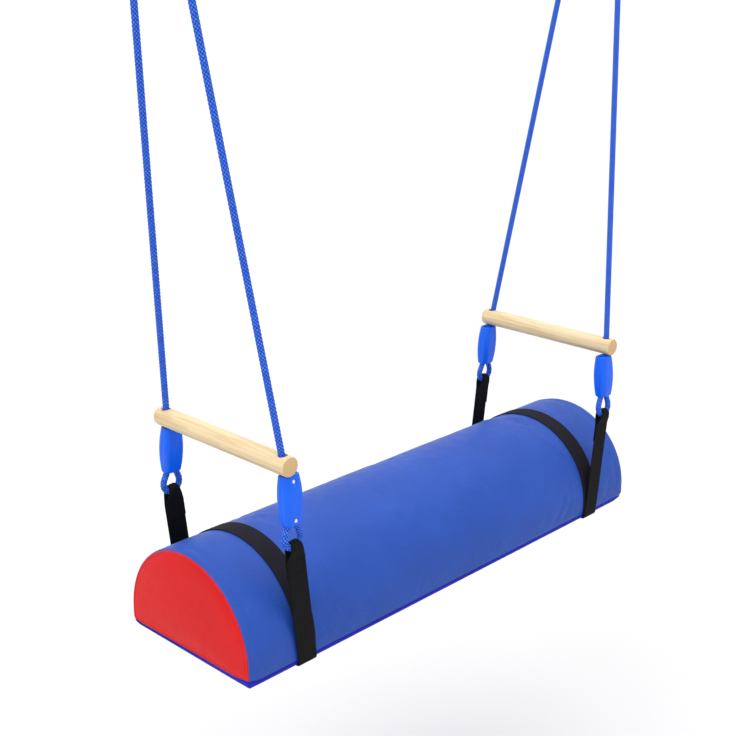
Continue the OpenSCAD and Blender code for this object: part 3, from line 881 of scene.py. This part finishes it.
def strap_half():
    """Stations of the back half, as (half width, outer, inner) with points (x, t) -> (x, y, h)."""
    line = strap_line()
    out = []

    def leg(y, h, ny, nh):
        narrow = smooth_step((h - slot_foot + 8) / (ARCH_FOOT - slot_foot + 9))
        half = web_width / 2 * (1 - 0.43 * narrow)

        def face(sign):
            def f(x, t):
                ripple = 0.55 * narrow * (0.5 - 0.5 * cos(3 * pi * t)) * (1 if ny >= 0 else -1)
                return (x, y + ny * sign * web_t / 2 + ripple, h + nh * sign * web_t / 2)
            return f
        return half, face(1), face(-1)

    d = np.gradient(line, axis=0)
    d /= np.linalg.norm(d, axis=1, keepdims=True)
    for (y, h), (ty, th) in zip(line[::2], d[::2]):
        out.append(leg(y, h, th, -ty))
    arch = 15
    for i in range(1, arch):
        a = pi * i / arch
        half = web_width / 2 * (0.57 - 0.13 * sin(a) ** 0.6)

        def top(x, t, a=a):
            fold = 0.5 * cos(3 * pi * t) * sin(a)
            return (x, slot_y + 8 * cos(a), ARCH_FOOT + (6.8 + fold - 1.3 * t * t) * sin(a))

        def under(x, t, a=a):
            saddle = eye_up - sqrt(max(0, (loop_r - rope_r - 0.6) ** 2 - x * x))
            saddle = min(saddle, eye_up - 5)
            return (x, slot_y + 6 * cos(a), ARCH_FOOT + (saddle - ARCH_FOOT) * sin(a))
        out.append((half, top, under))
    corners = [(slot_y - 7, ARCH_FOOT), (slot_y - 7, slot_low),
               (slot_y - 1.02, slot_foot - 2), (slot_y - 1.02, sewn_low)]
    back = rounded(corners)
    d = np.gradient(back, axis=0)
    d /= np.linalg.norm(d, axis=1, keepdims=True)
    for (y, h), (ty, th) in zip(back[::2], d[::2]):
        out.append(leg(y, h, th, -ty))
    return out


def strap(end):
    half_line = strap_half()
    whole = []
    for side, run in ((-1, reversed(half_line[1:])), (1, half_line)):
        for half, outer, inner in run:
            whole.append((half,
                          lambda x, t, f=outer, k=side: leaned(*(lambda p: (p[0], k * p[1], p[2]))(f(x, t))),
                          lambda x, t, f=inner, k=side: leaned(*(lambda p: (p[0], k * p[1], p[2]))(f(x, t)))))
    stations, s, last = [], 0, None
    for half, outer, inner in whole:
        mid = (outer(0, 0) + inner(0, 0)) / 2
        if last is not None:
            s += (mid - last).length
        last = mid
        stations.append((s, half, outer, inner))
    obj = strip(f"strap_{end}", stations, end)
    finish_piece(obj, "seat", WEB, [f"sling_strap_{end}"], sharp=60)
    stitch = stitching(end)
    return s


def stitch_part(a, b, normal):
    """One stitch: a short thread from a to b that dips into the cloth at both ends."""
    along = (b - a).normalized()
    side = along.cross(normal)
    rings = []
    for share, r, sink in ((0, 0.14, 0.3), (0.15, 0.34, 0.02), (0.5, 0.4, -0.1),
                           (0.85, 0.34, 0.02), (1, 0.14, 0.3)):
        mid = a + (b - a) * share - normal * sink
        rings.append([mid + side * (r * cos(k * pi / 3)) + normal * (r * sin(k * pi / 3)) for k in range(6)])
    return loft(rings)


def stitch_run(a, b, normal, place, pitch=4.0, gap=0.9):
    n = max(1, round((b - a).length / pitch))
    parts = []
    for i in range(n):
        p = a + (b - a) * ((i + gap / 2 / pitch) / n)
        q = a + (b - a) * ((i + 1 - gap / 2 / pitch) / n)
        v, f = stitch_part(p, q, normal)
        parts.append(([place(u) for u in v], f))
    return parts


def stitching(end):
    """The boxed cross that sews down each end of the strap, on both its faces."""
    parts = []
    low, high, half = sewn_low + 4, slot_foot - 5, 15
    for side in (-1, 1):
        for y, normal in ((slot_y + 2, Vector((0, 1, 0))), (slot_y - 2.02, Vector((0, -1, 0)))):
            def place(u, k=side):
                return leaned(u.x, k * u.y, u.z)
            c = [Vector((x, y, z)) for x, z in
                 ((-half, low), (half, low), (half, high), (-half, high))]
            for a, b in ((0, 1), (1, 2), (2, 3), (3, 0), (0, 2), (1, 3)):
                parts += stitch_run(c[a], c[b], normal, place)
    verts, faces = join_parts(parts)
    obj = mesh_object(f"strap_stitching_{end}", [ENDS[end] @ v for v in verts], faces)
    point_values(obj, "strip", [(v.co.z, v.co.x, 0) for v in obj.data.vertices])
    return finish_piece(obj, "seat", THREAD, sharp=180)


for end_name in ENDS:
    band(end_name)
    strap(end_name)


# ---------- clamps ----------

def barrel_half(z, mid, end):
    bow = (mid - end) / 2
    r = ((clamp_length / 2) ** 2 + bow ** 2) / (2 * bow)
    return mid / 2 - (r - sqrt(r * r - (z - clamp_start - clamp_length / 2) ** 2))


def clamp_outline(w, d, r, groove):
    """A round-cornered section with a fine parting groove where the two halves meet."""
    quarter = [(w - groove, 0.0), (w - groove * 0.9, 0.16), (w - groove * 0.15, 0.34), (w, 0.6)]
    quarter += [(w, 0.6 + (d - r - 0.6) * i / 3) for i in range(1, 4)]
    quarter += [(w - r + r * cos(a), d - r + r * sin(a)) for a in (pi / 2 * i / 10 for i in range(1, 11))]
    quarter += [((w - r) * (1 - i / 3), d) for i in range(1, 4)]
    first = quarter
    second = [(-x, y) for x, y in reversed(quarter[:-1])]
    third = [(-x, -y) for x, y in quarter[1:]]
    fourth = [(x, -y) for x, y in reversed(quarter[1:-1])]
    return first + second + third + fourth


def turned(profile, centre=(0, 0), sides=48, shift=None):
    """A cutter lofted from (radius, z) rings round a line along Z, each ring moved in x by its shift."""
    rings = []
    for k, (r, z) in enumerate(profile):
        dx = shift[k] if shift else 0
        rings.append([(centre[0] + dx + r * cos(2 * pi * i / sides),
                       centre[1] + r * sin(2 * pi * i / sides), z) for i in range(sides)])
    return loft(rings)


SCREW_HEIGHTS = (clamp_start + 8, clamp_end - 10)
HEAD_FLOOR = 9.2


def clamp_master():
    zs = [0, 0.12, 0.4, 0.9, 1.6, 3, 5]
    zs = (zs + [5 + (clamp_length - 10) * i / 24 for i in range(1, 24)]
          + [clamp_length - z for z in reversed(zs)])
    rings = []
    for dz in zs:
        near = min(dz, clamp_length - dz)
        inset = 1.6 - sqrt(max(0, 1.6 ** 2 - (1.6 - min(near, 1.6)) ** 2))
        z = clamp_start + dz
        w = barrel_half(z, 37, 32) - inset * 0.65
        d = barrel_half(z, 28, 22) - inset
        rings.append([(x, y, z) for x, y in clamp_outline(w, d, min(9.2, d - 1.2), 0.42)])
    body = mesh_object("clamp_master", *loft(rings), scale=False)
    cutters = []
    for side in (-1, 1):
        low, high = clamp_start, clamp_end
        prof = [(5.9, low - 2), (5.75, low), (5.6, low + 0.6), (5.45, low + 2),
                (5.4, low + 5), (5.4, high - 3),
                (5.5, high - 1), (5.85, high), (6.3, high + 2)]
        shifts = [0.6, 0.5, 0.4, 0.2, 0, 0, 0, 0, 0]
        shell = turned(prof, (side * run_x, 0), 40, [side * v for v in shifts])
        cutters.append(mesh_object("cut", *shell, scale=False))
    for z in SCREW_HEIGHTS:
        rings = lathe([(3.75, HEAD_FLOOR), (3.75, 11.4), (4.2, 12.4), (5.5, 14.5)], 40, "Y")
        cutters.append(mesh_object("cut", *moved(loft(rings), Matrix.Translation((0, 0, z))), scale=False))
    return cut(body, cutters)


def screw_master():
    """A pan head with a crossed recess, in the frame of its own clamp."""
    profile = [(0.01, HEAD_FLOOR), (3.4, HEAD_FLOOR), (3.5, HEAD_FLOOR + 0.15), (3.5, HEAD_FLOOR + 1.2),
                (3.35, HEAD_FLOOR + 1.6), (3.0, HEAD_FLOOR + 1.9),
                (2.3, HEAD_FLOOR + 2.1), (0.01, HEAD_FLOOR + 2.25)]
    head = mesh_object("screw_master", *loft(lathe(profile, 40, "Y")), scale=False)
    cutters = []
    for turn in (0, 90):
        def box(wide, long, y):
            return [(-long, y, -wide), (long, y, -wide), (long, y, wide), (-long, y, wide)]
        part = loft([box(0.25, 0.9, HEAD_FLOOR + 0.7), box(0.42, 1.5, HEAD_FLOOR + 2.0),
                     box(0.5, 1.7, HEAD_FLOOR + 3)])
        spin = Matrix.Rotation(radians(turn + 20), 4, "Y")
        cutters.append(mesh_object("cut", *moved(part, spin), scale=False))
    return cut(head, cutters)


def mesh_part(obj):
    return [v.co.copy() for v in obj.data.vertices], [tuple(p.vertices) for p in obj.data.polygons]


def hardware():
    clamp, screw = clamp_master(), screw_master()
    clamp_mesh, screw_mesh = mesh_part(clamp), mesh_part(screw)
    bpy.data.objects.remove(clamp)
    bpy.data.objects.remove(screw)
    for end in ENDS:
        screws = []
        for place in ("front", "back"):
            for level, eye in (("lower", lower_eye), ("upper", upper_eye)):
                matrix = hung(ENDS[end] @ eye(side_of(end, place)))
                if (end, place, level) == ("left", "back", "lower"):
                    matrix = matrix @ Matrix.Rotation(pi, 4, "Z")
                name = f"{level}_clamp_{end}_{place}"
                obj = mesh_object(name, *clamp_mesh, matrix=matrix)
                finish_piece(obj, f"{end}_ropes", CLAMP,
                             [name + "_cap", name + "_body"], sharp=38)
                for z in SCREW_HEIGHTS:
                    screws.append(moved(screw_mesh, matrix @ Matrix.Translation((0, 0, z))))
        obj = mesh_object(f"screws_{end}", *join_parts(screws), scale=False)
        finish_piece(obj, f"{end}_ropes", SCREW, [f"clamp_screws_{end}"], sharp=30)


hardware()


# ---------- spreader bars ----------

BAR_SIDES = 96


def bar(end):
    """A turned bar with eased ends and rope holes whose mouths are rounded over."""
    ys = [0, 0.15, 0.5, 1.0, 1.7, 2.6]
    ease = [1.9, 1.25, 0.75, 0.35, 0.1, 0]
    inner = [2.6 + (2 * bar_end - 5.2) * i / 120 for i in range(1, 120)]
    profile = ([(y, g) for y, g in zip(ys, ease)] + [(y, 0) for y in inner]
               + [(2 * bar_end - y, g) for y, g in zip(reversed(ys), reversed(ease))])
    rings = []
    for y, g in profile:
        rings.append([(bar_x + (bar_r - g) * cos(2 * pi * k / BAR_SIDES), y - bar_end,
                       bar_z + (bar_r - g) * sin(2 * pi * k / BAR_SIDES)) for k in range(BAR_SIDES)])
    obj = mesh_object("bar_master", *loft(rings), scale=False)
    cutters = []
    for side in (-1, 1):
        prof = [(9.4, -18), (8.4, -16.2), (7.6, -14.6), (bar_hole_r, -13),
                (bar_hole_r, 13), (7.6, 14.6), (8.4, 16.2), (9.4, 18)]
        middle = Matrix.Translation((bar_x, side * (hole_y - 0.4), bar_z))
        place = middle @ Matrix.Rotation(rope_lean / 2, 4, "Y")
        cutters.append(mesh_object("cut", *moved(turned(prof, sides=56), place), scale=False))
    cut(obj, cutters)
    verts, faces = mesh_part(obj)
    bpy.data.objects.remove(obj)
    piece = mesh_object(f"bar_{end}", [ENDS[end] @ v for v in verts], faces)
    finish_piece(piece, f"{end}_ropes", WOOD, [f"spreader_bar_{end}"], sharp=32)


for end_name in ENDS:
    bar(end_name)


# ---------- steel hardware and the hidden board, whose CAD shapes stay ----------

def repaint(node, material):
    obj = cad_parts[node]
    obj.data.materials.clear()
    obj.data.materials.append(material)


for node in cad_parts:
    if node.startswith(("thimble_", "shackle_", "hang_ring_")):
        repaint(node, PLATED)
repaint("base_board", PLYWOOD)


# ---------- floor and light ----------

SKY = 3.0


def stage_set():
    n = Nodes("pale_floor")
    mottle = n.noise(n.coords(), 3, 3)
    n.set(Base_Color=n.mix(mottle, rgb("cccccd"), rgb("cfcfcf")))
    n.shader.inputs["Roughness"].default_value = 0.9
    size, z = 80, -hang_height * MM - 0.62
    corners = [(-size, -size, z), (size, -size, z), (size, size, z), (-size, size, z)]
    ground = mesh_object("ground", corners, [(0, 1, 2, 3)], scale=False)
    ground.data.materials.append(n.material)
    world = bpy.data.worlds.new("studio")
    bpy.context.scene.world = world
    world.use_nodes = True
    back = world.node_tree.nodes["Background"]
    back.inputs["Color"].default_value = (1, 1, 1, 1)
    ramp = [(0, 1.02), (0.32, 1.02), (0.42, 0.8), (0.7, 1.5), (1, 2.8)]
    tree = world.node_tree
    split, curve = tree.nodes.new("ShaderNodeSeparateXYZ"), tree.nodes.new("ShaderNodeFloatCurve")
    line = curve.mapping.curves[0]
    for at, strength in ramp[1:-1]:
        line.points.new(at, strength / SKY)
    line.points[0].location = (0, ramp[0][1] / SKY)
    line.points[-1].location = (1, ramp[-1][1] / SKY)
    for point in line.points:
        point.handle_type = "VECTOR"
    curve.mapping.update()
    gain = tree.nodes.new("ShaderNodeMath")
    gain.operation = "MULTIPLY"
    gain.inputs[1].default_value = SKY
    tree.links.new(tree.nodes.new("ShaderNodeTexCoord").outputs["Generated"], split.inputs[0])
    tree.links.new(split.outputs["Z"], curve.inputs["Value"])
    tree.links.new(curve.outputs[0], gain.inputs[0])
    tree.links.new(gain.outputs[0], back.inputs["Strength"])


def area_light(name, at, target, size, watts, tint=(1, 1, 1)):
    data = bpy.data.lights.new(name, "AREA")
    data.shape, data.size, data.energy, data.color = "DISK", size, watts, tint
    lamp = bpy.data.objects.new(name, data)
    bpy.context.scene.collection.objects.link(lamp)
    lamp.location = at
    lamp.rotation_euler = (Vector(target) - Vector(at)).to_track_quat("-Z", "Y").to_euler()


stage_set()
area_light("key", (-2.8, -0.4, 1.2), (0, 0, -1.3), 1.6, 22)
bpy.context.scene.view_settings.view_transform = "Standard"
